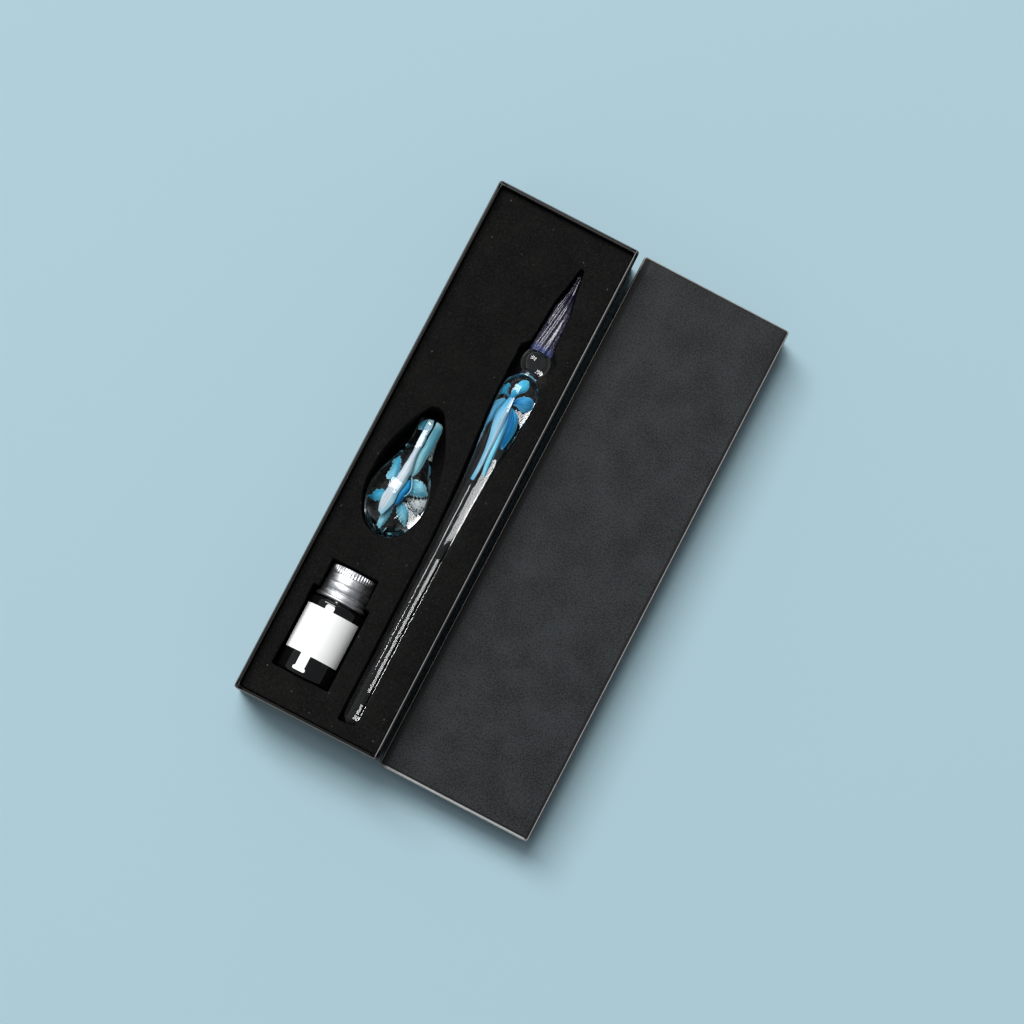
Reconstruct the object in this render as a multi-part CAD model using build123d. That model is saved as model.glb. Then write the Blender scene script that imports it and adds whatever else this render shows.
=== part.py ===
from build123d import *
import os
from math import acos, atan2, cos, degrees, pi, sin, sqrt

# A glass dip pen, an ink bottle and a drop-shaped glass pen rest in a foam-lined board box,
# with the box's lift-off lid lying beside it. All sizes are in millimetres.
# X runs across the tray towards the lid, Y along it towards the nib, Z up from the table.
# The origin is the centre of the tray's underside.

# Paper-wrapped board of the tray and the lid
tray_width = 56.5
tray_length = 205.0
tray_height = 28.0
board_thickness = 0.9
paper_thickness = 0.15
stay_thickness = 0.1
corner_radius = 1.2
inner_corner_radius = 0.5
rim_bevel = 0.18
tray_lining_depth = 16.0
lid_lining_depth = 11.0
stay_leg = 14.0
stay_margin = 1.0
lid_depth = 17.0
lid_clearance = 0.2
lid_stand_off = 1.75
lid_shift = 0.5
lid_turn = -0.35

# Foam insert, three glued layers
foam_recess = 3.0
foam_side_gap = 0.15
foam_base_thickness = 4.0
foam_top_thickness = 11.6
seat_gap = 0.25

# Pen, measured from its tail
pen_axis_margin = 15.05
pen_end_margin = 7.15
tail_radius = 2.9
bulb_radius = 6.9
bulb_from_tail = 133.0
shaft_radius = 3.2
swell_length = 64.0
swell_share = 0.234
neck_radius = 3.25
ball_radius = 5.4
ball_from_bulb = 12.45
neck_fillet = 0.5

# Twisted fluted nib
nib_length = 36.4
nib_base_radius = 4.35
nib_waist_radius = 3.1
nib_waist_share = 0.62
nib_point_radius = 1.75
nib_point_share = 0.78
nib_tip_radius = 0.4
nib_flutes = 10
nib_flute_depth = 0.2
nib_twist = -84.0
nib_sections = 8

# Slot for the pen
slot_gap = 0.55
slot_bias = 0.25
slot_stretch = 1.25
slot_shoulder = 3.2
slot_nib_share = 0.17
slot_end_room = 1.1

# Flower inside the pen's bulb
flower_from_bulb = -3.2
flower_from_axis = -2.2
flower_depth = 2.4
stem_width = 2.6
stem_thickness = 1.6
stem_length = 29.0
stem_lean = 1.8
stem_wide_share = 0.12
pen_petal_thickness = 0.8

# Drop-shaped pen rest
rest_axis_margin = 20.05
rest_tilt = 2.0
rest_length = 46.3
rest_width = 22.0
rest_top_width = 9.1
rest_crown_height = 2.5
rest_crown_radius = 6.0
rest_belly_share = 0.36
rest_foot_share = 0.8
rest_draw_share = 0.27
rest_flat = 0.5
rest_web = 14.3
pocket_side_room = 1.4
pocket_foot_room = 1.1
pocket_finger_room = 3.2
pocket_head_radius = 4.2
heart_share = 0.387
rest_band_width = 3.0
rest_band_thickness = 1.6
rest_band_from_foot = 8.4
rest_band_from_head = 2.9
rest_band_wide_share = 0.3
rest_petal_thickness = 0.9

# Ink bottle, lying on its side
bottle_axis_margin = 18.95
bottle_end_margin = 13.8
bottle_radius = 10.85
bottle_body_length = 28.6
bottle_wall = 1.5
bottle_floor = 2.4
bottle_base_round = 1.2
bottle_shoulder_round = 1.3
bottle_neck_radius = 7.9
bottle_bore_radius = 5.6
bottle_pocket_gap = 0.35
ink_level = 0.5
label_thickness = 0.1
label_chord = 19.9
label_height = 17.3
label_from_base = 7.85
label_mark_offset = -1.7
label_tab_width = 3.3
label_tab_height = 2.0
label_stem_width = 3.6
label_stem_height = 4.9
label_foot_width = 4.8
label_foot_height = 1.4

# Screw cap, measured from its open end
cap_height = 12.4
cap_from_shoulder = 0.8
cap_skin = 0.45
cap_neck_gap = 0.25
cap_bead_radius = 0.7
cap_bead_reach = 1.0
cap_ring_reach = 0.22
cap_ring_height = 2.8
cap_groove_depth = 0.22
cap_groove_width = 0.5
cap_knurl_height = 2.6
cap_knurls = 48
cap_knurl_depth = 0.24
cap_edge_bevel = 0.4
cap_top_thickness = 0.5
liner_thickness = 1.2
liner_gap = 0.1
cap_end_room = 0.8

# Levels and places that follow from the sizes above
wall = 2 * paper_thickness + stay_thickness + board_thickness
floor_top = paper_thickness + board_thickness
foam_top_z = tray_height - foam_recess
foam_shelf_z = foam_top_z - foam_top_thickness
foam_floor_z = floor_top + foam_base_thickness
foam_width = tray_width - 2 * (wall + foam_side_gap)
foam_length = tray_length - 2 * (wall + foam_side_gap)
lid_width = tray_width + 2 * (wall + lid_clearance)
lid_length = tray_length + 2 * (wall + lid_clearance)
lid_x = tray_width / 2 + lid_stand_off + lid_width / 2

pen_axis_x = tray_width / 2 - pen_axis_margin
pen_axis_z = foam_shelf_z + seat_gap + bulb_radius
pen_tail_y = -tray_length / 2 + pen_end_margin
bulb_y = pen_tail_y + bulb_from_tail
ball_y = bulb_y + ball_from_bulb
nib_base_y = ball_y + sqrt(ball_radius ** 2 - nib_base_radius ** 2)
nib_base_share = (nib_base_y - ball_y) / nib_length
nib_tip_y = ball_y + nib_length

cap_radius = bottle_neck_radius + cap_neck_gap + cap_skin
bottle_axis_x = bottle_axis_margin - tray_width / 2
bottle_axis_z = foam_floor_z + seat_gap + bottle_radius
bottle_base_y = -tray_length / 2 + bottle_end_margin
shoulder_y = bottle_base_y + bottle_body_length
cap_open_y = shoulder_y + cap_from_shoulder
cap_top_y = cap_open_y + cap_height
lip_y = cap_top_y - cap_top_thickness - liner_thickness

pocket_foot_y = cap_top_y + cap_end_room + rest_web
rest_foot_y = pocket_foot_y + pocket_foot_room
rest_axis_x = rest_axis_margin - tray_width / 2
rest_axis_z = foam_floor_z + seat_gap + rest_width / 2 - rest_flat


def prism(width, length, radius, low, high):
    """An upright block with rounded corners, centred on the origin in plan."""
    outline = RectangleRounded(width, length, radius) if radius > 0 else Rectangle(width, length)
    return Pos(0, 0, low) * extrude(outline, amount=high - low)


def box_board(width, length, height):
    """The folded board inside a wrapped box, open upwards."""
    skin = paper_thickness + stay_thickness
    outer = prism(width - 2 * skin, length - 2 * skin, corner_radius - skin,
                  paper_thickness, height - paper_thickness)
    inner = prism(width - 2 * (skin + board_thickness), length - 2 * (skin + board_thickness), 0,
                  floor_top, height)
    return outer - inner


def box_wrap(width, length, height, lining_depth):
    """One sheet of paper under the floor, up the walls, over the rim and down inside."""
    body = prism(width, length, corner_radius, 0, height)
    opening = prism(width - 2 * wall, length - 2 * wall, inner_corner_radius, paper_thickness, height)
    lining = width - 2 * wall + 2 * paper_thickness, length - 2 * wall + 2 * paper_thickness
    board_space = prism(width - 2 * paper_thickness, length - 2 * paper_thickness,
                        corner_radius - paper_thickness, paper_thickness, height - paper_thickness)
    turned_in = prism(*lining, 0, height - lining_depth, height)
    shell = body - opening
    shell = chamfer(shell.faces().sort_by(Axis.Z)[-1].edges(), rim_bevel)
    shell = chamfer(shell.faces().sort_by(Axis.Z)[0].edges(), rim_bevel)
    return shell - (board_space - turned_in)


def box_stays(width, length, height):
    """Paper tape round the four corners of the board, under the wrap."""
    low, high = paper_thickness + stay_margin, height - paper_thickness - stay_margin
    outer = prism(width - 2 * paper_thickness, length - 2 * paper_thickness,
                  corner_radius - paper_thickness, low, high)
    skin = paper_thickness + stay_thickness
    inner = prism(width - 2 * skin, length - 2 * skin, corner_radius - skin, low, high)
    ring = outer - inner
    corners = []
    for side in (-1, 1):
        for end in (-1, 1):
            zone = Pos(side * width / 2, end * length / 2, height / 2) * Box(
                2 * stay_leg, 2 * stay_leg, height)
            corners.append((ring & zone).solid())
    return corners


def place_lid(piece):
    """Turns an upright box part upside down and lays it beside the tray."""
    return Pos(lid_x, lid_shift, 0) * Rot(0, 0, lid_turn) * Pos(0, 0, lid_depth) * Rot(180, 0, 0) * piece


def rounded_end(half_width, height, end_radius):
    """Half of a round end from the origin up +Y: an arc centred on the axis, and one tangent to it."""
    rise = height - end_radius
    side_radius = (half_width ** 2 + rise ** 2 - end_radius ** 2) / (2 * (half_width - end_radius))
    side = 1 if end_radius < half_width else -1
    meet = degrees(atan2(-side * rise, side * (side_radius - half_width)))
    return (CenterArc((0, end_radius), end_radius, -90, 90 + meet),
            CenterArc((half_width - side_radius, height), side_radius, meet, -meet))


def drawn_in(wide, narrow, length, near_share):
    """Half of a form drawn in from one half width to another: a full arc, then a hollow one, up +Y."""
    drop = wide - narrow
    reach = (drop ** 2 + length ** 2) / (2 * drop)
    lean = degrees(2 * atan2(drop, length))
    near, far = reach * near_share, reach * (1 - near_share)
    return (CenterArc((wide - near, 0), near, 0, lean),
            CenterArc((narrow + far, length), far, 180 + lean, -lean))


def pen_handle_solid():
    """Clear shaft, bulb, neck and ball, turned round the pen's axis."""
    tail = CenterArc((0, pen_tail_y + tail_radius), tail_radius, -90, 90)
    swell = [Pos(0, bulb_y) * mirror(edge, Plane.XZ)
             for edge in drawn_in(bulb_radius, shaft_radius, swell_length, swell_share)]
    shaft = Line(tail @ 1, (shaft_radius, bulb_y - swell_length))
    dome = CenterArc((0, bulb_y), bulb_radius, 0, degrees(acos(neck_radius / bulb_radius)))
    neck_turn = degrees(acos(neck_radius / ball_radius))
    seat_turn = degrees(acos(nib_base_radius / ball_radius))
    ball = CenterArc((0, ball_y), ball_radius, -neck_turn, seat_turn + neck_turn)
    neck = Line(dome @ 1, ball @ 0)
    front = Polyline(ball @ 1, (0, nib_base_y), tail @ 0)
    turned = revolve(make_face([tail, shaft, *swell, dome, neck, ball, front]), Axis.Y)
    joins = [e for e in turned.edges().filter_by(GeomType.CIRCLE)
             if abs(e.radius - neck_radius) < 0.01]
    return fillet(joins, neck_fillet)


def nib_radius(share):
    """The nib's radius at a share of the way from the ball's centre to the tip."""
    stations = ((nib_base_share, nib_base_radius), (nib_waist_share, nib_waist_radius),
                (nib_point_share, nib_point_radius), (1, nib_tip_radius))
    for (s0, r0), (s1, r1) in zip(stations, stations[1:]):
        if share <= s1:
            return r0 + (r1 - r0) * (share - s0) / (s1 - s0)
    return nib_tip_radius


def nib_section(share):
    """One cross-section of the nib, a ring of round ribs, turned by its share of the twist."""
    radius = nib_radius(share)
    valley = radius * (1 - nib_flute_depth)
    step = 2 * pi / nib_flutes
    ribs = []
    for flute in range(nib_flutes):
        low, middle, high = flute * step, (flute + 0.5) * step, (flute + 1) * step
        ribs.append(ThreePointArc((valley * cos(low), valley * sin(low)),
                                  (radius * cos(middle), radius * sin(middle)),
                                  (valley * cos(high), valley * sin(high))))
    station = Pos(0, share * nib_length, 0) * Rot(-90, 0, 0)
    return station * Rot(0, 0, -nib_twist * share) * make_face(ribs)


def pen_nib_solid():
    """A fluted, twisted and tapered nib, seated on the flat of the pen's ball."""
    span = (1 - nib_base_share) / (nib_sections - 1)
    sections = [nib_section(nib_base_share + span * step) for step in range(nib_sections)]
    return Pos(0, ball_y, 0) * loft(sections, ruled=True)


def petal(length, width, thickness, point=0.35):
    """A flat petal that grows along +Y from the origin, widest at a share from its tip."""
    half = width * 0.55
    belly = length * (1 - point)
    base = rounded_end(half, belly, half * 0.15)
    tip = [Pos(0, length) * mirror(edge, Plane.XZ) for edge in rounded_end(half, length - belly, half * 0.6)]
    sides = [*base, *tip]
    outline = make_face(sides + [mirror(edge, Plane.YZ) for edge in sides])
    return extrude(outline, amount=thickness / 2, both=True)


def petal_spray(size, thickness, spray):
    """Petals set by their turn, length, width, place and the share where they are widest."""
    petals = []
    for turn, length, width, x, y, z, point in spray:
        leaf = petal(length * size, width * size, thickness, point)
        petals.append(Pos(x * size, y * size, z * size) * Rot(0, 0, turn) * leaf)
    return petals


def pen_flower():
    """Five petals, the white stem and one pale streak, encased in the pen's bulb."""
    centre = Pos(flower_from_axis, bulb_y + flower_from_bulb, 0)
    stem = Pos(0, 0, flower_depth) * Rot(0, 0, 180 + stem_lean) * petal(
        stem_length, stem_width, stem_thickness, 1 - stem_wide_share)
    spray = ((-27, 0.96, 0.5, 0, 0.1, 0.43, 0.35), (-92, 0.94, 0.8, 0.26, 0.07, 0.24, 0.5),
             (-168, 2.3, 0.5, 0.42, -0.35, 0.12, 0.7), (174, 1.3, 0.3, -0.3, -0.3, 0.14, 0.5),
             (20, 0.6, 0.38, -0.25, 0.1, 0.3, 0.35))
    petals = petal_spray(bulb_radius, pen_petal_thickness, spray)
    streak = petal_spray(bulb_radius, pen_petal_thickness, ((-177.5, 3.1, 0.2, 0.43, -0.95, 0.35, 0.8),))
    return centre * stem, [centre * leaf for leaf in petals], centre * streak[0]


def rest_glass_solid():
    """The drop, turned and ground flat underneath."""
    shank = rest_length - rest_crown_height
    belly = shank * rest_belly_share
    half_width, half_top = rest_width / 2, rest_top_width / 2
    foot = rounded_end(half_width, belly, half_width * rest_foot_share)
    flank = [Pos(0, belly) * edge for edge in drawn_in(half_width, half_top, shank - belly, rest_draw_share)]
    crown = [Pos(0, rest_length) * mirror(edge, Plane.XZ)
             for edge in rounded_end(half_top, rest_crown_height, rest_crown_radius)]
    profile = make_face([*foot, *flank, *crown, Line((0, rest_length), (0, 0))])
    ground = Pos(0, rest_length / 2, -rest_width + rest_flat) * Box(2 * rest_width, 2 * rest_length, rest_width)
    return Rot(0, 90, 0) * revolve(profile, Axis.Y) - ground


def rest_flower():
    """Petals, white band and blue heart, encased in the drop's wide end."""
    size = rest_width / 2
    centre = Pos(0, rest_length * heart_share, 0)
    band_length = rest_length - rest_band_from_foot - rest_band_from_head
    band = Pos(-0.18 * size, rest_band_from_foot, 0) * petal(
        band_length, rest_band_width, rest_band_thickness, 1 - rest_band_wide_share)
    spray = ((3, 0.7, 0.34, -0.5, 0.11, 0.25, 0.5), (118, 0.46, 0.34, -0.42, -0.29, 0.15, 0.5),
             (176, 0.4, 0.26, -0.15, -0.93, 0, 0.5), (-140, 0.7, 0.36, 0.14, -0.35, 0.05, 0.4),
             (-105, 0.7, 0.56, 0.2, 0.06, 0.2, 0.5), (183, 1.7, 0.24, 0.12, 2.3, 0.02, 0.5))
    petals = [centre * leaf for leaf in petal_spray(size, rest_petal_thickness, spray)]
    heart = petal_spray(size, rest_petal_thickness, ((-10, 0.7, 0.34, 0.14, -0.2, 0.36, 0.4),))
    return band, petals, centre * heart[0]


def place_pen(piece):
    return Pos(pen_axis_x, 0, pen_axis_z) * piece


def place_rest(piece):
    return Pos(rest_axis_x, rest_foot_y, rest_axis_z) * Rot(0, 0, rest_tilt) * piece


def place_bottle(piece):
    return Pos(bottle_axis_x, 0, bottle_axis_z) * piece


def bottle_outside():
    body = Pos(0, (bottle_base_y + shoulder_y) / 2, 0) * Rot(90, 0, 0) * Cylinder(
        bottle_radius, bottle_body_length)
    ends = body.edges().filter_by(GeomType.CIRCLE).sort_by(Axis.Y)
    body = fillet(ends[0], bottle_base_round)
    ends = body.edges().filter_by(GeomType.CIRCLE).sort_by(Axis.Y)
    body = fillet(ends[-1], bottle_shoulder_round)
    neck_length = lip_y - shoulder_y
    return body + Pos(0, shoulder_y + neck_length / 2, 0) * Rot(90, 0, 0) * Cylinder(
        bottle_neck_radius, neck_length)


def bottle_inside():
    """The room for ink, from the glass floor to the lip."""
    room_low = bottle_base_y + bottle_floor
    room_length = shoulder_y - bottle_wall - room_low
    room = Pos(0, room_low + room_length / 2, 0) * Rot(90, 0, 0) * Cylinder(
        bottle_radius - bottle_wall, room_length)
    room = chamfer(room.edges().filter_by(GeomType.CIRCLE), bottle_shoulder_round)
    bore_length = lip_y - room_low - bottle_wall
    return room + Pos(0, lip_y - bore_length / 2, 0) * Rot(90, 0, 0) * Cylinder(
        bottle_bore_radius, bore_length)


def ink_solid():
    """Ink lying level in the bottle on its side."""
    reach = 2 * bottle_radius
    below = Pos(0, (bottle_base_y + lip_y) / 2, ink_level - reach / 2) * Box(
        reach, lip_y - bottle_base_y, reach)
    return (bottle_inside() & below).solid()


def label_solid():
    """A blank die-cut paper label wrapped over the upper side of the bottle."""
    low = bottle_base_y + label_from_base
    high = low + label_height
    outline = Pos(0, (low + high) / 2) * Rectangle(label_chord, label_height)
    tab = Pos(label_mark_offset, high) * RectangleRounded(
        label_tab_width, 2 * label_tab_height, label_tab_width / 4)
    stem = Pos(label_mark_offset, low - label_stem_height / 2) * Rectangle(
        label_stem_width, label_stem_height + label_foot_height)
    foot = Pos(label_mark_offset, low - label_stem_height - label_foot_height / 2) * RectangleRounded(
        label_foot_width, label_foot_height, label_foot_height / 2.1)
    length = shoulder_y - bottle_base_y
    middle = Pos(0, (bottle_base_y + shoulder_y) / 2, 0) * Rot(90, 0, 0)
    skin = middle * Cylinder(bottle_radius + label_thickness, length) - middle * Cylinder(bottle_radius, length)
    stamp = extrude(outline + tab + stem + foot, amount=2 * bottle_radius)
    return (skin & stamp).solid()


def cap_profile():
    """Half section of the rolled cap, from its open end to the middle of its top."""
    bore = bottle_neck_radius + cap_neck_gap
    bead_radius = cap_radius + cap_bead_reach - cap_bead_radius
    bead = CenterArc((bead_radius, cap_open_y + cap_bead_radius), cap_bead_radius, -90, 180)
    groove_low = cap_open_y + 2 * cap_bead_radius + cap_ring_height * 0.6
    ring_low = groove_low + cap_groove_width
    ring_high = ring_low + cap_ring_height
    slope = Line(bead @ 1, (cap_radius + cap_ring_reach, groove_low))
    low_groove = Polyline(slope @ 1, (cap_radius - cap_groove_depth, groove_low + cap_groove_width / 2),
                          (cap_radius, ring_low))
    ring = Polyline((cap_radius, ring_low), (cap_radius + cap_ring_reach, ring_low + cap_groove_width),
                    (cap_radius + cap_ring_reach, ring_high - cap_groove_width), (cap_radius, ring_high))
    high_groove = Polyline((cap_radius, ring_high),
                           (cap_radius - cap_groove_depth, ring_high + cap_groove_width / 2),
                           (cap_radius, ring_high + cap_groove_width))
    side = Polyline(high_groove @ 1, (cap_radius, cap_top_y - cap_edge_bevel),
                    (cap_radius - cap_edge_bevel, cap_top_y))
    inside = Polyline(side @ 1, (0, cap_top_y), (0, cap_top_y - cap_top_thickness),
                      (bore, cap_top_y - cap_top_thickness), (bore, cap_open_y), bead @ 0)
    return make_face([bead, slope, low_groove, ring, high_groove, side, inside])


def bottle_cap_solid():
    """Aluminium screw cap with a rolled bead, a pressed ring and a knurled grip band."""
    body = revolve(cap_profile(), Axis.Y)
    cutter_side = 2 * cap_knurl_depth * sqrt(2)
    cutter = (Pos(0, cap_top_y - cap_knurl_height / 2, cap_radius + cap_knurl_depth) * Rot(0, 45, 0)
              * Box(cutter_side, cap_knurl_height, cutter_side))
    grooves = [Rot(0, 360 * step / cap_knurls, 0) * cutter for step in range(cap_knurls)]
    return body - grooves


def cap_liner_solid():
    """The soft sealing disc between the bottle's lip and the cap's top."""
    radius = bottle_neck_radius + cap_neck_gap - liner_gap
    return Pos(0, lip_y + liner_thickness / 2, 0) * Rot(90, 0, 0) * Cylinder(radius, liner_thickness)


def slot_outline():
    """Plan of the pen's slot: snug on the shaft, wide at the ball, narrow at the nib."""
    wide, snug = bulb_radius + slot_gap, shaft_radius + slot_gap
    swell_end = swell_length * slot_stretch
    foot = Line((0, pen_tail_y - slot_gap), (snug, pen_tail_y - slot_gap))
    swell = [Pos(0, bulb_y) * mirror(edge, Plane.XZ)
             for edge in drawn_in(wide, snug, swell_end, swell_share)]
    shaft = Line(foot @ 1, (snug, bulb_y - swell_end))
    nib_points = [(nib_radius(share) + slot_gap, ball_y + share * nib_length)
                  for share in (slot_nib_share, nib_waist_share, nib_point_share)]
    end_radius = nib_tip_radius + slot_gap
    end_y = nib_tip_y + slot_end_room - end_radius
    nib = Polyline((wide, bulb_y), (wide, ball_y + slot_shoulder), *nib_points, (end_radius, end_y))
    end = CenterArc((0, end_y), end_radius, 0, 90)
    side = [foot, shaft, *swell, nib, end]
    return Pos(pen_axis_x - slot_bias, 0) * make_face(side + [mirror(edge, Plane.YZ) for edge in side])


def rest_pocket_outline():
    """Plan of the drop's pocket, with room for a fingertip past the drop's head."""
    length = pocket_foot_room + rest_length + pocket_finger_room
    half_width = rest_width / 2 + pocket_side_room
    belly = length * rest_belly_share
    foot = rounded_end(half_width, belly, half_width * rest_foot_share)
    head = [Pos(0, length) * mirror(edge, Plane.XZ)
            for edge in rounded_end(half_width, length - belly, pocket_head_radius)]
    side = [*foot, *head]
    outline = make_face(side + [mirror(edge, Plane.YZ) for edge in side])
    return Pos(rest_axis_x, pocket_foot_y) * Rot(0, 0, rest_tilt) * outline


def bottle_pocket_outline():
    """Plan of the bottle's pocket: a wide part for the body and a narrow one for the cap."""
    body_half = bottle_radius + bottle_pocket_gap
    low = bottle_base_y - bottle_pocket_gap
    step = cap_open_y + 2 * cap_bead_radius + cap_end_room
    high = cap_top_y + cap_end_room
    cap_half = cap_radius + cap_ring_reach + bottle_pocket_gap
    body = Pos(bottle_axis_x, (low + step) / 2) * Rectangle(2 * body_half, step - low)
    cap = Pos(bottle_axis_x, (low + high) / 2) * Rectangle(2 * cap_half, high - low)
    return fillet((body + cap).vertices(), 0.6)


def foam_layer(low, high, pockets):
    layer = prism(foam_width, foam_length, inner_corner_radius, low, high)
    for outline in pockets:
        layer = layer - Pos(0, 0, low) * extrude(outline, amount=high - low)
    return layer


def make_parts():
    """Every piece of the set, by the name of its file."""
    tray = tray_width, tray_length, tray_height
    lid = lid_width, lid_length, lid_depth
    stem, petals, streak = pen_flower()
    band, rest_petals, heart = rest_flower()
    slot, rest_pocket, bottle_pocket = slot_outline(), rest_pocket_outline(), bottle_pocket_outline()
    return {
        "tray_board": box_board(*tray),
        "tray_wrap": box_wrap(*tray, tray_lining_depth),
        "tray_corner_stays": Compound(children=box_stays(*tray)),
        "lid_board": place_lid(box_board(*lid)),
        "lid_wrap": place_lid(box_wrap(*lid, lid_lining_depth)),
        "lid_corner_stays": Compound(children=[place_lid(stay) for stay in box_stays(*lid)]),
        "foam_base": foam_layer(floor_top, foam_floor_z, []),
        "foam_middle": foam_layer(foam_floor_z, foam_shelf_z, [rest_pocket, bottle_pocket]),
        "foam_top": foam_layer(foam_shelf_z, foam_top_z, [slot, rest_pocket, bottle_pocket]),
        "pen_handle": place_pen(pen_handle_solid() - [stem, streak, *petals]),
        "pen_nib": place_pen(pen_nib_solid()),
        "pen_flower_stem": place_pen(stem),
        "pen_flower_streak": place_pen(streak),
        "pen_flower_petals": Compound(children=[place_pen(leaf) for leaf in petals]),
        "rest_glass": place_rest(rest_glass_solid() - [band, heart, *rest_petals]),
        "rest_flower_band": place_rest(band),
        "rest_flower_heart": place_rest(heart),
        "rest_flower_petals": Compound(children=[place_rest(leaf) for leaf in rest_petals]),
        "ink_bottle": place_bottle(bottle_outside() - bottle_inside()),
        "ink": place_bottle(ink_solid()),
        "bottle_label": place_bottle(label_solid()),
        "cap_liner": place_bottle(cap_liner_solid()),
        "bottle_cap": place_bottle(bottle_cap_solid()),
    }


os.makedirs("parts", exist_ok=True)
for name, piece in make_parts().items():
    export_step(piece, f"parts/{name}.step")
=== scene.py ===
import bmesh
import bpy
import math
import random
from mathutils import Matrix, Vector


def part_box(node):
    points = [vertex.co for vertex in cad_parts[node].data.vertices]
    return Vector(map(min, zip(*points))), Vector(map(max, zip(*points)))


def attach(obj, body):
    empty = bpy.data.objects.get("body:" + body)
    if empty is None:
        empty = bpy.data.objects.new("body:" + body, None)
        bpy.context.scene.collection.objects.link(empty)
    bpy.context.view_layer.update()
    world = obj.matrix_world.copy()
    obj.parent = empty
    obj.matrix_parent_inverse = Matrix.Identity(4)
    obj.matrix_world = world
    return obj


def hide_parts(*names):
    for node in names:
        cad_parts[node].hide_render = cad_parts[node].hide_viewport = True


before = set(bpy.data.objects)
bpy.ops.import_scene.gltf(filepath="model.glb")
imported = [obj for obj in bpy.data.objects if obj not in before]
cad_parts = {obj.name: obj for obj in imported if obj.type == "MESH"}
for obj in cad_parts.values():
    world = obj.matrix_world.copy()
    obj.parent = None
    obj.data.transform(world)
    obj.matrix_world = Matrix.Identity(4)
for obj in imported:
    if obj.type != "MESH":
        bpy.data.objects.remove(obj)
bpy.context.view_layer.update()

# Lengths in this script are millimetres until they meet MM
MM = 0.001

# Places read from the frame
pen_low, pen_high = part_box("pen_handle")
pen_x = (pen_low.x + pen_high.x) / 2 / MM
pen_z = (pen_low.z + pen_high.z) / 2 / MM
tail_y = pen_low.y / MM
bottle_low, bottle_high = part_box("ink_bottle")
bottle_x = (bottle_low.x + bottle_high.x) / 2 / MM
bottle_z = (bottle_low.z + bottle_high.z) / 2 / MM
bottle_base_y = bottle_low.y / MM
cap_low, cap_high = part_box("bottle_cap")
cap_top_y = cap_high.y / MM
rest_low, rest_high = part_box("rest_glass")
tray_low, tray_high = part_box("tray_wrap")
lid_low, lid_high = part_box("lid_wrap")

GLASS_BEND = 1.5
READ_HEIGHT = 22.0

# Pen
TAIL_RADIUS = 2.9
BULB_RADIUS = 6.9
SWELL_LENGTH = 25.6
SWELL_POWER = 2.5
NECK_RADIUS = 3.25
BALL_RADIUS = 5.4
BULB_Y = tail_y + 133.0
BALL_Y = BULB_Y + 12.45
NIB_LENGTH = 36.4
NIB_TWIST = 84.0
NIB_FLUTES = 10
NIB_STATIONS = ((0.0, 4.6), (0.13, 4.35), (0.62, 3.1), (0.78, 1.75), (1.0, 0.4))

# Drop-shaped rest
REST_LENGTH = 46.3
REST_HALF = 11.0
REST_HALF_TOP = 4.55
REST_HEAD_ROUND = 2.5
REST_FLAT = 0.5
REST_TILT = 2.0
REST_FOOT_X = -8.2
REST_Z = rest_low.z / MM + REST_HALF - REST_FLAT
REST_FOOT_Y = rest_low.y / MM

# Ink bottle and cap
BOTTLE_RADIUS = 10.85
BOTTLE_BODY = 28.6
NECK_OF_BOTTLE = 7.9
CAP_RADIUS = 8.6
CAP_HEIGHT = 12.4
CAP_OPEN_Y = cap_top_y - CAP_HEIGHT
SHOULDER_Y = bottle_base_y + BOTTLE_BODY
LIP_Y = bottle_high.y / MM

# Box
BOX_CORNER = 1.2
BOX_WALL = 1.3
RIM_ROUND = 0.35
TRAY_ROUND = 0.3
LID_ROUND = 1.0
FOAM_ROUND = 0.45

STRIP_BRIGHTNESS = 12.4
SKY_BRIGHTNESS = 10.6
LEFT_GLOW, FRONT_GLOW, ROOM_GLOW = 1.2, 0.9, 0.1

# The camera of the photograph
CAMERA_PLACE = (31.8906, -108.2414, 908.8242)
CAMERA_TILT = (-0.1192485, -0.0017473, 0.4772163)
LENS_PX = 2500.0
FRAME_PX = 1024.0
SENSOR_MM = 36.0


def linear(red, green, blue):
    """A colour picked as a screen value, as the light that it stands for."""
    def channel(value):
        share = value / 255
        return share / 12.92 if share <= 0.04045 else ((share + 0.055) / 1.055) ** 2.4
    return channel(red), channel(green), channel(blue)


# Node groups and materials

BLACK, WHITE, ORIGIN, UNIT = (0, 0, 0, 1), (1, 1, 1, 1), (0, 0, 0), (1, 1, 1)


def give(tree, sockets, values):
    """Sets each named socket to a value or a solid colour, or links it to the socket given for it."""
    for name, value in values.items():
        if isinstance(value, bpy.types.NodeSocket):
            tree.links.new(value, sockets[name])
        elif sockets[name].type == "RGBA":
            sockets[name].default_value = (*value[:3], 1)
        else:
            sockets[name].default_value = value


def node(tree, kind, inputs=None, **settings):
    """One shader node, with its settings and with values or links for its inputs."""
    made = tree.nodes.new(kind)
    for name, value in settings.items():
        setattr(made, name, value)
    give(tree, made.inputs, inputs or {})
    return made


def calc(tree, operation, first, second=0.0, third=0.0):
    return node(tree, "ShaderNodeMath", {0: first, 1: second, 2: third}, operation=operation).outputs[0]


def times(tree, first, second):
    return calc(tree, "MULTIPLY", first, second)


def weigh(tree, value, weight, rest):
    """A value times its weight, with the rest added."""
    return calc(tree, "MULTIPLY_ADD", value, weight, rest)


def off_from(tree, value, middle):
    """How far a value is from the middle, on either side."""
    return calc(tree, "ABSOLUTE", calc(tree, "SUBTRACT", value, middle))


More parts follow.
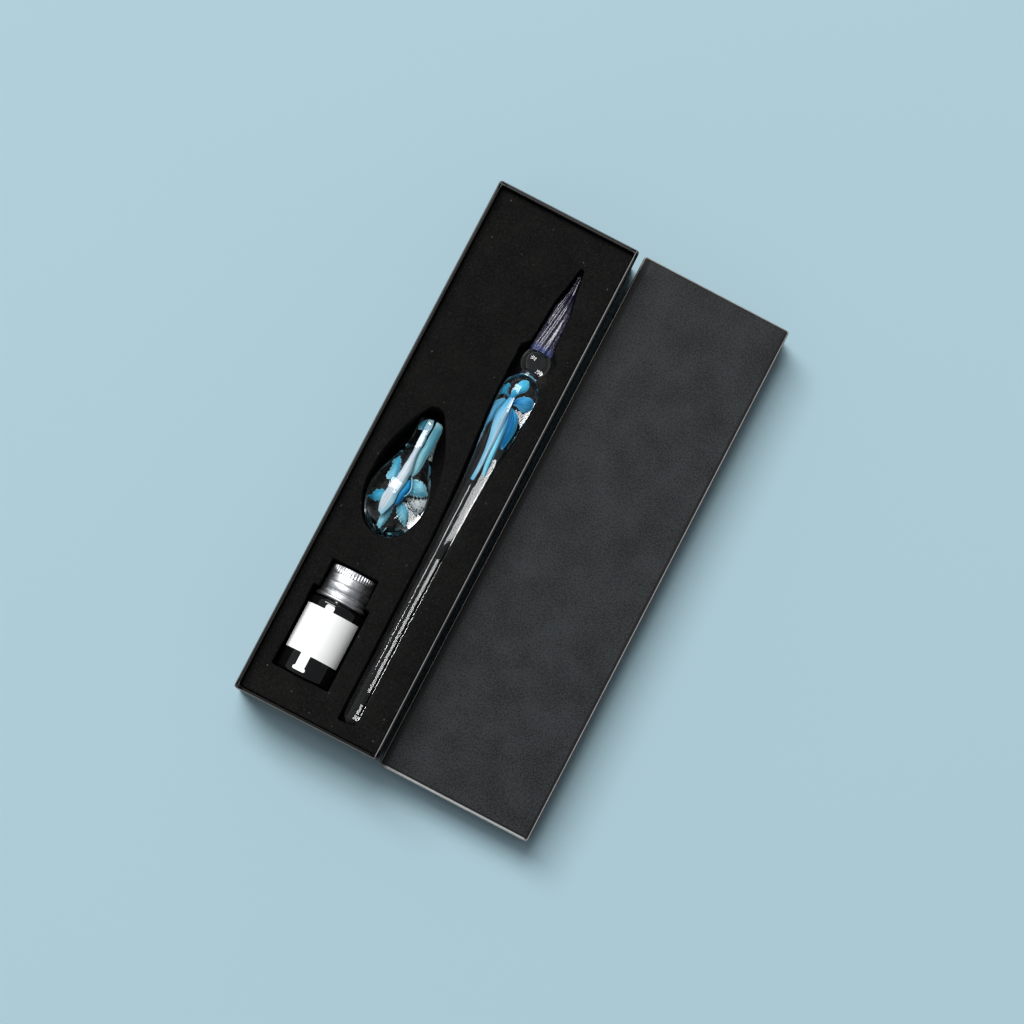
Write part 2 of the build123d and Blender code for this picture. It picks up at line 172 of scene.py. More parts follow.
def fade(tree, value, low, high, from_value=0.0, to_value=1.0):
    """A smooth step from one value to another between two limits."""
    limits = {"Value": value, "From Min": low, "From Max": high, "To Min": from_value, "To Max": to_value}
    return node(tree, "ShaderNodeMapRange", limits, interpolation_type="SMOOTHSTEP").outputs["Result"]


def blend(tree, share, first, second):
    return node(tree, "ShaderNodeMix", {0: share, 6: first, 7: second}, data_type="RGBA").outputs[2]


def axes(tree, place):
    return node(tree, "ShaderNodeSeparateXYZ", {0: place}).outputs


def stretch(tree, place, **settings):
    """Stretches or turns the places that a pattern reads, or sets them from another centre."""
    kind = "TEXTURE" if "Location" in settings else "POINT"
    return node(tree, "ShaderNodeMapping", {"Vector": place, **settings}, vector_type=kind).outputs[0]


def noise(tree, place, per_metre, detail=2.0, roughness=0.5):
    settings = {"Vector": place, "Scale": per_metre, "Detail": detail, "Roughness": roughness}
    return node(tree, "ShaderNodeTexNoise", settings).outputs["Fac"]


def cells(tree, place, per_metre):
    return node(tree, "ShaderNodeTexVoronoi", {"Vector": place, "Scale": per_metre}).outputs


def specks(tree, place, per_metre, core, rim, least, most, strength=1.0):
    """Dots with soft rims in some of the cells of a pattern, by each cell's own chance."""
    cell = cells(tree, place, per_metre)
    chance = node(tree, "ShaderNodeSeparateColor", {"Color": cell["Color"]}).outputs[0]
    return times(tree, fade(tree, cell["Distance"], core, rim, 1.0, 0.0),
                 fade(tree, chance, least, most, 0.0, strength))


def new_group(name, inputs, *outputs):
    """An empty shader group with named inputs and values, and outputs that are numbers but for Color."""
    group = bpy.data.node_groups.new(name, "ShaderNodeTree")
    for label, value in inputs.items():
        kind = "Float" if isinstance(value, float) else {3: "Vector", 4: "Color"}[len(value)]
        socket = group.interface.new_socket(label, in_out="INPUT", socket_type="NodeSocket" + kind)
        socket.default_value = value
    for label in outputs:
        kind = "Color" if label == "Color" else "Float"
        group.interface.new_socket(label, in_out="OUTPUT", socket_type="NodeSocket" + kind)
    return group, group.nodes.new("NodeGroupInput").outputs, group.nodes.new("NodeGroupOutput").inputs


def foam_pores_group():
    """Cut foam: fine open cells, a soft unevenness, and sparse pale specks of lint and dust."""
    tree, given, out = new_group("foam_pores", {"Place": ORIGIN, "Cell": 2600.0}, "Height", "Tone", "Specks")
    place = given["Place"]
    waves = noise(tree, place, 90.0, 3.0)
    grain = noise(tree, place, 1700.0, 2.0)
    pores = weigh(tree, cells(tree, place, given["Cell"])["Distance"], 0.6, grain)
    lint = specks(tree, place, 330.0, 0.05, 0.12, 0.62, 0.95)
    dust = specks(tree, place, 1150.0, 0.12, 0.34, 0.5, 1.0, 0.22)
    give(tree, out, {"Height": weigh(tree, waves, 0.4, pores),
                      "Tone": weigh(tree, waves, 0.35, times(tree, grain, 0.9)),
                      "Specks": calc(tree, "MAXIMUM", lint, dust)})
    return tree


def paper_grain_group():
    """Uneven tone, fibres and a fine tooth, as on black wrapping paper and plain board."""
    tree, given, out = new_group("paper_grain", {"Place": ORIGIN, "Tooth": 2200.0, "Cloud": 60.0},
                                  "Height", "Tone")
    tooth = noise(tree, given["Place"], given["Tooth"], 3.0, 0.6)
    cloud = noise(tree, given["Place"], given["Cloud"], 4.0, 0.55)
    give(tree, out, {"Height": tooth, "Tone": weigh(tree, cloud, 0.6, times(tree, tooth, 0.4))})
    return tree


def leather_grain_group():
    """Pressed leather grain: fine rounded pebbles, and a mask of the pits between them for painted shade."""
    tree, given, out = new_group("leather_grain", {"Place": ORIGIN, "Pebble": 1750.0},
                                 "Height", "Pit Shade", "Tone")
    fine = noise(tree, given["Place"], given["Pebble"], 2.0, 0.55)
    finer = noise(tree, given["Place"], 3400.0, 1.0)
    broad = noise(tree, given["Place"], 90.0, 3.0)
    grain = weigh(tree, fine, 0.75, times(tree, finer, 0.25))
    give(tree, out, {"Height": grain, "Pit Shade": fade(tree, grain, 0.36, 0.5, 1.0, 0.0),
                      "Tone": weigh(tree, broad, 0.25, times(tree, grain, 0.75))})
    return tree


def edge_wear_group():
    """Where the corners of a box are rubbed, from the box's own centre and half sizes."""
    tree, given, out = new_group("edge_wear", {"Place": ORIGIN, "Half": UNIT, "Width": 0.0006}, "Corner")
    reach = node(tree, "ShaderNodeVectorMath", {0: given["Place"]}, operation="ABSOLUTE")
    inward = node(tree, "ShaderNodeVectorMath", {0: given["Half"], 1: reach.outputs[0]}, operation="SUBTRACT")
    depth = axes(tree, inward.outputs[0])
    deepest = calc(tree, "MAXIMUM", calc(tree, "MAXIMUM", depth[0], depth[1]), depth[2])
    tip = fade(tree, calc(tree, "DIVIDE", deepest, given["Width"]), 0.5, 3.0, 1.0, 0.0)
    rubbed = noise(tree, given["Place"], 420.0, 4.0, 0.65)
    give(tree, out, {"Corner": times(tree, tip, fade(tree, rubbed, 0.3, 0.6))})
    return tree


def box_sides_group():
    """How far a place on a box is from each of its four sides and from its top."""
    sides = {"Left": ("ADD", 0), "Right": ("SUBTRACT", 0), "Front": ("ADD", 1), "Back": ("SUBTRACT", 1),
             "Top": ("SUBTRACT", 2)}
    tree, given, out = new_group("box_sides", {"Place": ORIGIN, "Half": UNIT}, *sides)
    here, half = axes(tree, given["Place"]), axes(tree, given["Half"])
    give(tree, out, {side: calc(tree, way, half[axis], here[axis]) for side, (way, axis) in sides.items()})
    return tree


def petal_streaks_group():
    """Colour drawn out along a petal from its base, finer across than along."""
    tree, given, out = new_group(
        "petal_streaks", {"Base": BLACK, "Tip": WHITE, "Rim": WHITE, "Side": WHITE, "Turn": 0.5, "Reach": 0.0},
        "Color", "Height")
    on_petal = node(tree, "ShaderNodeUVMap").outputs["UV"]
    parts = axes(tree, on_petal)
    streaks = noise(tree, stretch(tree, on_petal, Scale=(16.0, 1.6, 1.0)), 1.0, 3.0, 0.6)
    along = fade(tree, weigh(tree, streaks, 0.5, parts[1]), given["Turn"],
                 calc(tree, "ADD", given["Turn"], 0.55))
    body = blend(tree, along, given["Base"], given["Tip"])
    lean = weigh(tree, streaks, 0.35, calc(tree, "SUBTRACT", parts[0], 0.17))
    far = calc(tree, "SUBTRACT", 1.0, given["Reach"])
    flank = fade(tree, lean, calc(tree, "SUBTRACT", far, 0.12), calc(tree, "ADD", far, 0.12))
    body = blend(tree, flank, body, given["Side"])
    body = blend(tree, fade(tree, streaks, 0.32, 0.56, 0.5, 0.0), body, (0.0, 0.03, 0.07))
    side = calc(tree, "ABSOLUTE", weigh(tree, parts[0], 2.0, -1.0))
    edge = calc(tree, "MAXIMUM", side, calc(tree, "POWER", parts[1], 2.0))
    pale = times(tree, fade(tree, edge, 0.8, 1.0), 0.75)
    give(tree, out, {"Color": blend(tree, pale, body, given["Rim"]), "Height": streaks})
    return tree


def turned_metal_group():
    """Fine rings left by rolling, round the Y axis, and a cloudy satin."""
    tree, given, out = new_group("turned_metal", {"Place": ORIGIN}, "Tone", "Roughness")
    rings = noise(tree, stretch(tree, given["Place"], Scale=(60.0, 5200.0, 60.0)), 1.0, 2.0)
    cloud = noise(tree, given["Place"], 500.0, 3.0)
    give(tree, out, {"Tone": weigh(tree, rings, 0.6, times(tree, cloud, 0.4)),
                      "Roughness": fade(tree, calc(tree, "ADD", rings, cloud), 0.6, 1.4, 0.38, 0.52)})
    return tree


def handled_glass_group():
    """Faint smears that dull polished glass here and there."""
    tree, given, out = new_group("handled_glass", {"Place": ORIGIN, "Least": 0.01, "Most": 0.06},
                                  "Roughness", "Height")
    smears = noise(tree, given["Place"], 140.0, 3.0, 0.6)
    give(tree, out, {"Roughness": fade(tree, smears, 0.4, 0.75, given["Least"], given["Most"]),
                      "Height": noise(tree, given["Place"], 60.0, 1.0)})
    return tree


GROUPS = {group.name: group for group in (
    foam_pores_group(), paper_grain_group(), leather_grain_group(), edge_wear_group(), box_sides_group(),
    petal_streaks_group(), turned_metal_group(), handled_glass_group())}


def effect(tree, name, **inputs):
    """Puts a group in a material, at the object's own places but for others given; returns its outputs."""
    made = node(tree, "ShaderNodeGroup", node_tree=GROUPS[name])
    if "Place" in made.inputs and "Place" not in inputs:
        inputs["Place"] = object_place(tree)
    give(tree, made.inputs, inputs)
    return made.outputs


def new_material(name, **constants):
    """A material with its shader's plain values set; gives the material, its tree and its shader."""
    material = bpy.data.materials.new(name)
    material.use_nodes = True
    tree = material.node_tree
    shader = tree.nodes["Principled BSDF"]
    give(tree, shader.inputs, {label.replace("_", " "): value for label, value in constants.items()})
    return material, tree, shader


def paint(tree, shader, colour, roughness=None):
    give(tree, shader.inputs, {"Base Color": colour})
    if roughness is not None:
        give(tree, shader.inputs, {"Roughness": roughness})


def object_place(tree):
    return tree.nodes.new("ShaderNodeTexCoord").outputs["Object"]


def raise_surface(tree, shader, height, depth_mm, strength=1.0):
    bump = node(tree, "ShaderNodeBump", {"Strength": strength, "Distance": depth_mm * MM, "Height": height})
    tree.links.new(bump.outputs["Normal"], shader.inputs["Normal"])


def smear(tree, shader, least, most, depth_mm, strength):
    made = effect(tree, "handled_glass", Least=least, Most=most)
    give(tree, shader.inputs, {"Roughness": made["Roughness"]})
    raise_surface(tree, shader, made["Height"], depth_mm, strength)


def see_through(tree, shader):
    """Lets straight light through clear glass, so that what it encases is lit."""
    path = tree.nodes.new("ShaderNodeLightPath")
    clear = tree.nodes.new("ShaderNodeBsdfTransparent")
    ways = {0: path.outputs["Is Shadow Ray"], 1: shader.outputs[0], 2: clear.outputs[0]}
    choose = node(tree, "ShaderNodeMixShader", ways)
    tree.links.new(choose.outputs[0], tree.nodes["Material Output"].inputs["Surface"])


def black_foam():
    material, tree, shader = new_material("black_foam", Roughness=0.95, Specular_IOR_Level=0.12)
    pores = effect(tree, "foam_pores")
    body = blend(tree, fade(tree, pores["Tone"], 0.35, 0.85), (0.0022, 0.0022, 0.0021),
                 (0.0088, 0.0086, 0.0082))
    paint(tree, shader, blend(tree, pores["Specks"], body, (0.075, 0.075, 0.07)))
    raise_surface(tree, shader, pores["Height"], 0.12)
    return material


def box_paper(name, low, high, turn, dark, light, rough, shine, painted_lines):
    """Black paper over board, with painted lines of highlight and shade along its sides, each (side, place,
    width, tone).
    """
    material, tree, shader = new_material(name, Specular_IOR_Level=shine)
    half = (high - low) / 2
    slack = abs(math.sin(turn))
    half_own = Vector((half.x - half.y * slack, half.y - half.x * slack, half.z))
    place = stretch(tree, object_place(tree), Location=(low + high) / 2, Rotation=(0, 0, turn))
    wear = effect(tree, "edge_wear", Place=place, Half=half_own, Width=0.5 * MM)
    sides = effect(tree, "box_sides", Place=place, Half=half_own)
    upper = fade(tree, sides["Top"], 1.0 * MM, 1.8 * MM, 1.0, 0.0)
    if name == "grained_paper":
        skin, depth = effect(tree, "leather_grain", Place=place), 0.05
        tone = blend(tree, fade(tree, skin["Tone"], 0.41, 0.59), dark, light)
        # Painted shade: the pits between the grain's pebbles are darkened.
        tone = blend(tree, times(tree, skin["Pit Shade"], 0.45), tone, (0.004, 0.0042, 0.0044))
    else:
        skin, depth = effect(tree, "paper_grain", Place=place), 0.012
        tone = blend(tree, fade(tree, skin["Tone"], 0.3, 0.7), dark, light)
    line_strength = fade(tree, skin["Tone"], 0.2, 0.75, 0.55, 1.0)
    # Painted light: each line is a highlight, reflection or shade near the top of a side, its strength varied
    # with the paper's grain.
    for side, line_place, width, colour in painted_lines:
        off = off_from(tree, sides[side], line_place * MM)
        painted_line = times(tree, fade(tree, off, 0.3 * width * MM, 0.7 * width * MM, 1.0, 0.0), upper)
        tone = blend(tree, times(tree, painted_line, line_strength), tone, colour)
    paint(tree, shader, blend(tree, times(tree, wear["Corner"], 0.25), tone, (0.16, 0.15, 0.14)),
          fade(tree, skin["Tone"], 0.2, 0.8, rough - 0.05, rough + 0.05))
    raise_surface(tree, shader, skin["Height"], depth)
    return material


def plain_paper(name, dark, light, tooth, cloud=220.0, rough=0.9, depth=0.03, limits=(0.3, 0.7)):
    """Board, tape, the label or the liner: plain, with a fine tooth and a soft unevenness."""
    material, tree, shader = new_material(name, Roughness=rough)
    skin = effect(tree, "paper_grain", Tooth=tooth, Cloud=cloud)
    share = fade(tree, skin["Tone"], *limits) if limits else skin["Tone"]
    paint(tree, shader, blend(tree, share, dark, light))
    raise_surface(tree, shader, skin["Height"], depth)
    return material


def clear_glass():
    material, tree, shader = new_material("clear_glass", Transmission_Weight=1.0, IOR=GLASS_BEND,
                                          Base_Color=(0.97, 0.99, 1.0))
    smear(tree, shader, 0.0, 0.03, 0.05, 0.1)
    see_through(tree, shader)
    return material


def petal_glass(name, base, tip, rim, side, turn, reach, dots=0.0):
    """Opaque coloured glass, drawn out in streaks, with dark dots where asked."""
    material, tree, shader = new_material(name, Roughness=0.5, Specular_IOR_Level=0.05)
    base, tip, rim, side = (linear(*colour) for colour in (base, tip, rim, side))
    streaks = effect(tree, "petal_streaks", Base=base, Tip=tip, Rim=rim, Side=side, Turn=turn, Reach=reach)
    colour = streaks["Color"]
    if dots:
        spot = fade(tree, cells(tree, object_place(tree), 1000.0)["Distance"], dots, dots + 0.14, 1.0, 0.0)
        colour = blend(tree, spot, colour, (0.004, 0.006, 0.008))
    paint(tree, shader, colour)
    raise_surface(tree, shader, streaks["Height"], 0.12)
    return material


def nib_glass():
    """Dark violet glass with a painted net of pale highlights, where the flutes catch the light, that thins
    out towards the point.
    """
    dark, pale, foot = (0.012, 0.01, 0.03), (0.3, 0.29, 0.38), (0.03, 0.05, 0.18)
    material, tree, shader = new_material("violet_glass", Transmission_Weight=0.3, IOR=GLASS_BEND,
                                          Roughness=0.12)
    place = stretch(tree, object_place(tree), Location=Vector((pen_x, BALL_Y, pen_z)) * MM)
    along = axes(tree, place)[1]
    drawn = stretch(tree, place, Rotation=(0, 0, 0.12), Scale=(1500.0, 300.0, 1500.0))
    glint_net = noise(tree, drawn, 1.0, 1.5, 0.5)
    # Painted highlights: the pale net stands for light caught by the front flutes and seen through to the back
    # ones.
    wide_glint = fade(tree, off_from(tree, glint_net, 0.5), 0.0, 0.055, 1.0, 0.0)
    thin_glint = fade(tree, off_from(tree, noise(tree, drawn, 1.7, 1.0), 0.5), 0.0, 0.04, 0.8, 0.0)
    share = times(tree, calc(tree, "MAXIMUM", wide_glint, thin_glint), fade(tree, along, 17.0 * MM, 27.0 * MM, 0.8, 0.0))
    body = blend(tree, fade(tree, along, 5.2 * MM, 7.5 * MM), foot, dark)
    paint(tree, shader, blend(tree, share, body, pale))
    raise_surface(tree, shader, glint_net, 0.1, 0.4)
    see_through(tree, shader)
    return material


def bottle_black():
    material, tree, shader = new_material("bottle_black", Coat_Weight=0.3, Base_Color=(0.004, 0.004, 0.0043))
    smear(tree, shader, 0.03, 0.1, 0.1, 0.3)
    return material


def rolled_aluminium():
    material, tree, shader = new_material("rolled_aluminium", Metallic=1.0)
    rolled = effect(tree, "turned_metal")
    paint(tree, shader, blend(tree, fade(tree, rolled["Tone"], 0.35, 0.65), (0.5, 0.51, 0.53),
                              (0.74, 0.75, 0.77)), rolled["Roughness"])
    return material


def liquid_ink():
    material, tree, shader = new_material("liquid_ink", IOR=1.34, Roughness=0.05)
    cloud = noise(tree, object_place(tree), 200.0, 2.0)
    paint(tree, shader, blend(tree, cloud, (0.002, 0.002, 0.006), (0.004, 0.004, 0.012)))
    return material


def pale_floor():
    material, tree, shader = new_material("pale_floor", Roughness=0.9, Specular_IOR_Level=0.0)
    cloud = noise(tree, object_place(tree), 6.0, 2.0)
    paint(tree, shader, blend(tree, cloud, FLOOR_TONE, tuple(c * 0.99 for c in FLOOR_TONE)))
    return material


FLOOR_TONE = (0.385, 0.543, 0.611)
LID_TURN = math.radians(-0.35)

# Painted highlights and shade along the sides of the tray and the lid: side, place and width in millimetres,
# and colour
TRAY_RIM_HIGHLIGHTS = (
    # The tray: painted highlights along the inner and outer edges of its rim.
    ("Right", 1.15, 0.34, (0.24, 0.24, 0.24)), ("Back", 1.15, 0.4, (0.09, 0.09, 0.09)),
    ("Back", 0.15, 0.5, (0.14, 0.145, 0.15)), ("Left", 0.15, 0.45, (0.09, 0.092, 0.095)),
    ("Left", 1.15, 0.4, (0.05, 0.05, 0.05)), ("Front", 0.15, 0.45, (0.16, 0.155, 0.15)),
)
LID_LIGHT_AND_SHADE_LINES = (
    # The lid: painted reflections on its front and right rounded edges, painted shade in the creases inside
    # them and on its back edge, and the tray's painted shadow along its left side.
    ("Front", 1.2, 0.9, (0.003, 0.003, 0.0034)), ("Front", 0.35, 1.0, (0.6, 0.62, 0.62)),
    ("Right", 1.15, 0.8, (0.004, 0.004, 0.005)), ("Right", 0.3, 0.8, (0.05, 0.046, 0.062)),
    ("Back", 0.4, 1.0, (0.006, 0.006, 0.009)), ("Left", 1.0, 3.4, (0.0012, 0.0012, 0.0014)),
)

# Coloured glass: screen colours of base, tip, rim and side, where the tip's starts, how far the side's
# reaches, and the size of dark dots
PETAL_COLOURS = {
    "stem_petal": ((70, 150, 190), (118, 172, 196), (60, 145, 185), (165, 196, 212), 0.25, 0.45),
    "sky_petal": ((15, 118, 168), (66, 158, 190), (100, 178, 204), (60, 165, 205), 0.2, 0.25),
    "round_petal": ((10, 88, 143), (55, 135, 180), (85, 155, 192), (62, 140, 182), 0.35, 0.3),
    "long_petal": ((0, 80, 145), (10, 105, 160), (80, 165, 205), (50, 145, 190), 0.3, 0.35),
    "middle_petal": ((15, 105, 160), (125, 200, 220), (120, 195, 215), (80, 170, 205), 0.35, 0.3),
    "left_petal": ((60, 125, 158), (95, 150, 178), (130, 175, 192), (40, 115, 150), 0.3, 0.35),
    "teal_petal": ((25, 105, 140), (35, 120, 150), (60, 150, 175), (20, 95, 130), 0.3, 0.3),
    "collar": ((55, 100, 112), (95, 140, 150), (60, 110, 122), (35, 75, 88), 0.2, 0.4),
    "cloud_petal": ((112, 170, 188), (66, 146, 170), (150, 196, 206), (45, 130, 165), 0.3, 0.3),
    "dark_tip": ((60, 150, 178), (35, 110, 140), (90, 165, 185), (40, 130, 160), 0.4, 0.3),
    "ice_petal": ((70, 150, 178), (128, 188, 204), (172, 208, 216), (96, 168, 190), 0.3, 0.35),
    "heart_petal": ((15, 110, 162), (25, 128, 176), (55, 150, 190), (10, 90, 150), 0.4, 0.3),
    # The white band is partly white glass and partly a painted highlight of the strip light on the drop.
    "white_band": ((158, 186, 197), (182, 190, 196), (120, 172, 190), (140, 178, 192), 0.3, 0.35),
    "cyan_band": ((128, 176, 184), (92, 158, 174), (160, 196, 202), (90, 160, 178), 0.45, 0.25),
    "speckled_glass": ((190, 196, 196), (205, 210, 210), (160, 180, 185), (150, 165, 168), 0.3, 0.3, 0.22),
    "grey_streak": ((150, 160, 152), (140, 150, 145), (110, 125, 122), (120, 130, 125), 0.3, 0.3, 0.26),
}
MATERIALS = {
    "black_foam": black_foam(),
    "black_paper": box_paper("black_paper", tray_low, tray_high, 0.0, (0.001, 0.001, 0.0011),
                             (0.0028, 0.0028, 0.003), 0.3, 0.16, TRAY_RIM_HIGHLIGHTS),
    "grained_paper": box_paper("grained_paper", lid_low, lid_high, LID_TURN, (0.0068, 0.008, 0.0086),
                               (0.0275, 0.0318, 0.0336), 0.55, 0.18, LID_LIGHT_AND_SHADE_LINES),
    "greyboard": plain_paper("greyboard", (0.25, 0.23, 0.21), (0.36, 0.34, 0.31), 1600.0),
    "paper_tape": plain_paper("paper_tape", (0.42, 0.34, 0.22), (0.5, 0.41, 0.28), 2400.0),
    # White paper of the label, also on the label's tab and stem, which are a painted highlight.
    "label_paper": plain_paper("label_paper", (0.97, 0.97, 0.96), (1.0, 1.0, 0.99), 2600.0, 120.0, 0.6,
                               0.01, None),
    "cap_liner": plain_paper("soft_liner", (0.7, 0.7, 0.68), (0.85, 0.85, 0.83), 3000.0, 400.0, 0.7,
                             0.02, None),
    "clear_glass": clear_glass(),
    "violet_glass": nib_glass(),
    "bottle_glass": bottle_black(),
    "rolled_aluminium": rolled_aluminium(),
    "ink": liquid_ink(),
    **{name: petal_glass(name, *looks) for name, looks in PETAL_COLOURS.items()},
}


# Modelling by operators

def deselect():
    bpy.ops.object.select_all(action="DESELECT")


def activate(piece):
    """Selects one piece alone and makes it the active one."""
    deselect()
    piece.select_set(True)
    bpy.context.view_layer.objects.active = piece


def begin(name, add, location=ORIGIN, **settings):
    """A new piece made by one of the operators that add a plain form."""
    deselect()
    add(location=location, **settings)
    piece = bpy.context.object
    piece.name = name
    return piece


def take_all():
    bpy.ops.mesh.select_all(action="SELECT")


def extrude(way):
    bpy.ops.mesh.extrude_region_move(TRANSFORM_OT_translate={"value": way})


def narrow(keep, centre=(0, 0, 0)):
    """Scales what is selected towards a point of the Y axis, but not along that axis."""
    bpy.ops.transform.resize(value=(keep, 1, keep), center_override=centre)


def open_mesh(piece):
    """Goes into edit mode on one piece with nothing selected."""
    activate(piece)
    bpy.ops.object.mode_set(mode="EDIT")
    bpy.ops.mesh.select_mode(type="VERT")
    bpy.ops.mesh.select_all(action="DESELECT")


def close_mesh():
    bpy.ops.object.mode_set(mode="OBJECT")


def close_outward():
    """Turns the faces of the open mesh outwards and closes it."""
    take_all()
    bpy.ops.mesh.normals_make_consistent(inside=False)
    close_mesh()


def pick(piece, test, kind="verts"):
    """Selects the vertices, edges or faces of the open mesh that pass a test."""
    bpy.ops.mesh.select_mode(type={"verts": "VERT", "edges": "EDGE", "faces": "FACE"}[kind])
    bpy.ops.mesh.select_all(action="DESELECT")
    mesh = bmesh.from_edit_mesh(piece.data)
    for element in getattr(mesh, kind):
        if test(element):
            element.select_set(True)
    mesh.select_flush_mode()
    bmesh.update_edit_mesh(piece.data)


def soften(piece, level, radius, segments):
    """Rounds the sharp edges of the open mesh that lie at a level."""
    def sharp(edge):
        flat = all(abs(vertex.co.z - level) < 0.01 * MM for vertex in edge.verts)
        return flat and len(edge.link_faces) == 2 and edge.calc_face_angle(0) > 1.0
    pick(piece, sharp, "edges")
    bpy.ops.mesh.bevel(offset=radius * MM, segments=segments, affect="EDGES")


def column(vertex, columns):
    """The number of a vertex's column on a piece that has so many round the Y axis."""
    return round(math.atan2(vertex.co.z, vertex.co.x) / (2 * math.pi) * columns)


def chain(name, points):
    """A line of vertices, drawn by extruding from point to point. The mesh stays open."""
    piece = begin(name, bpy.ops.mesh.primitive_plane_add, size=MM)
    open_mesh(piece)
    take_all()
    bpy.ops.mesh.merge(type="CENTER")
    bpy.ops.transform.translate(value=Vector(points[0]) * MM)
    for here, there in zip(points, points[1:]):
        extrude((Vector(there) - Vector(here)) * MM)
    return piece


def turned(name, profile, steps):
    """A piece turned round the Y axis from a profile of radius and distance along the axis."""
    piece = chain(name, [(radius, along, 0) for radius, along in profile])
    take_all()
    bpy.ops.mesh.spin(steps=steps, angle=2 * math.pi, center=(0, 0, 0), axis=(0, 1, 0))
    take_all()
    bpy.ops.mesh.remove_doubles(threshold=0.004 * MM)
    close_outward()
    return piece


def set_down(piece, x, y, z, turn=0.0):
    """Moves a finished piece to its place and applies it."""
    activate(piece)
    piece.location = Vector((x, y, z)) * MM
    piece.rotation_euler = (0, 0, turn)
    bpy.ops.object.transform_apply(location=True, rotation=True, scale=True)


def smooth(piece, degrees=40.0):
    activate(piece)
    bpy.ops.object.shade_smooth_by_angle(angle=math.radians(degrees))


def finish_piece(piece, body, material, *nodes):
    """Gives a piece its material and its body, and hides the solids that it stands for."""
    if material:
        piece.data.materials.clear()
        piece.data.materials.append(MATERIALS[material])
    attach(piece, body)
    if nodes:
        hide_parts(*nodes)
    return piece


def finish_slotted(piece, body, material, *nodes):
    """The same as finish_piece, with no further step."""
    finish_piece(piece, body, material, *nodes)
    return piece


def arc(centre_radius, centre_along, radius, start, end, steps):
    """Points of a profile on an arc, by angle in degrees from straight out to straight on."""
    angles = [math.radians(start + (end - start) * step / steps) for step in range(steps + 1)]
    return [(centre_radius + radius * math.cos(a), centre_along + radius * math.sin(a)) for a in angles]


# Pen

def shaft_radius(distance):
    """The pen's radius at a distance behind the widest place of its bulb."""
    return TAIL_RADIUS + (BULB_RADIUS - TAIL_RADIUS) / (1 + (distance / SWELL_LENGTH) ** SWELL_POWER)


def circle_height(radius, offset):
    return math.sqrt(max(radius * radius - offset * offset, 0.0))


def pen_radius(y):
    """The pen's radius anywhere between its tail and the front of its ball."""
    if y < BULB_Y:
        return shaft_radius(BULB_Y - y)
    softness = 0.22
    forms = (circle_height(BULB_RADIUS, y - BULB_Y), circle_height(BALL_RADIUS, y - BALL_Y),
             NECK_RADIUS if y < BALL_Y else 0.0)
    return softness * math.log(sum(math.exp(form / softness) for form in forms))


def pen_handle():
    """Clear shaft, bulb, neck and ball, one turned piece of glass."""
    tail = arc(0, tail_y + TAIL_RADIUS, TAIL_RADIUS, -90, 0, 10)
    behind = [(BULB_Y - tail_y - TAIL_RADIUS) * (1 - step / 60) ** 1.3 for step in range(1, 61)]
    shaft = [(shaft_radius(distance), BULB_Y - distance) for distance in behind]
    ahead = [BULB_Y + (BALL_Y - BULB_Y) * step / 48 for step in range(1, 49)]
    front = [(pen_radius(y), y) for y in ahead]
    ball = arc(0, BALL_Y, BALL_RADIUS, 0, 90, 16)[1:]
    tail[0] = (0, tail[0][1])
    ball[-1] = (0, ball[-1][1])
    piece = turned("pen_glass", tail + shaft + front + ball, 96)
    smooth(piece, 60)
    set_down(piece, pen_x, 0, pen_z)
    finish_slotted(piece, "pen", "clear_glass", "pen_handle")


def nib_radius(share):
    for (s0, r0), (s1, r1) in zip(NIB_STATIONS, NIB_STATIONS[1:]):
        if share <= s1:
            return r0 + (r1 - r0) * ((share - s0) / (s1 - s0))
    return NIB_STATIONS[-1][1]


def pen_nib():
    """Ten flutes cut into a rod, then drawn out to the point while it is turned."""
    per_flute, flute_depth, rings, start = 8, 0.2, 44, 0.129
    piece = begin("pen_nib_glass", bpy.ops.mesh.primitive_circle_add, fill_type="NOTHING", rotation=ORIGIN,
                  vertices=NIB_FLUTES * per_flute, radius=MM)
    open_mesh(piece)
    take_all()
    bpy.ops.transform.rotate(value=math.pi / 2, orient_axis="X", center_override=ORIGIN)
    for step in range(1, per_flute // 2 + 1):
        pick(piece, lambda v: column(v, NIB_FLUTES * per_flute) % per_flute in (step, per_flute - step))
        narrow(1 - flute_depth * (1 - math.cos(2 * math.pi * step / per_flute)) / 2)
    take_all()
    radius = nib_radius(start)
    narrow(radius)
    y = start * NIB_LENGTH
    bpy.ops.transform.translate(value=(0, y * MM, 0))
    step_turn = -math.radians(NIB_TWIST) * (1 - start) / rings
    for ring in range(1, rings + 1):
        share = start + (1 - start) * ring / rings
        there, new_radius = share * NIB_LENGTH, nib_radius(share)
        extrude((0, (there - y) * MM, 0))
        centre = (0, there * MM, 0)
        narrow(new_radius / radius, centre)
        bpy.ops.transform.rotate(value=step_turn, orient_axis="Y", center_override=centre)
        y, radius = there, new_radius
    bpy.ops.mesh.edge_face_add()
    bpy.ops.mesh.bevel(offset=0.15 * MM, segments=3, affect="EDGES")
    pick(piece, lambda v: v.co.y < (start * NIB_LENGTH + 0.01) * MM)
    extrude((0, -0.9 * MM, 0))
    narrow(0.93)
    bpy.ops.mesh.edge_face_add()
    close_outward()
    smooth(piece, 50)
    set_down(piece, pen_x, BALL_Y, pen_z)
    finish_slotted(piece, "pen", "violet_glass", "pen_nib")


# Coloured glass seen through clear glass

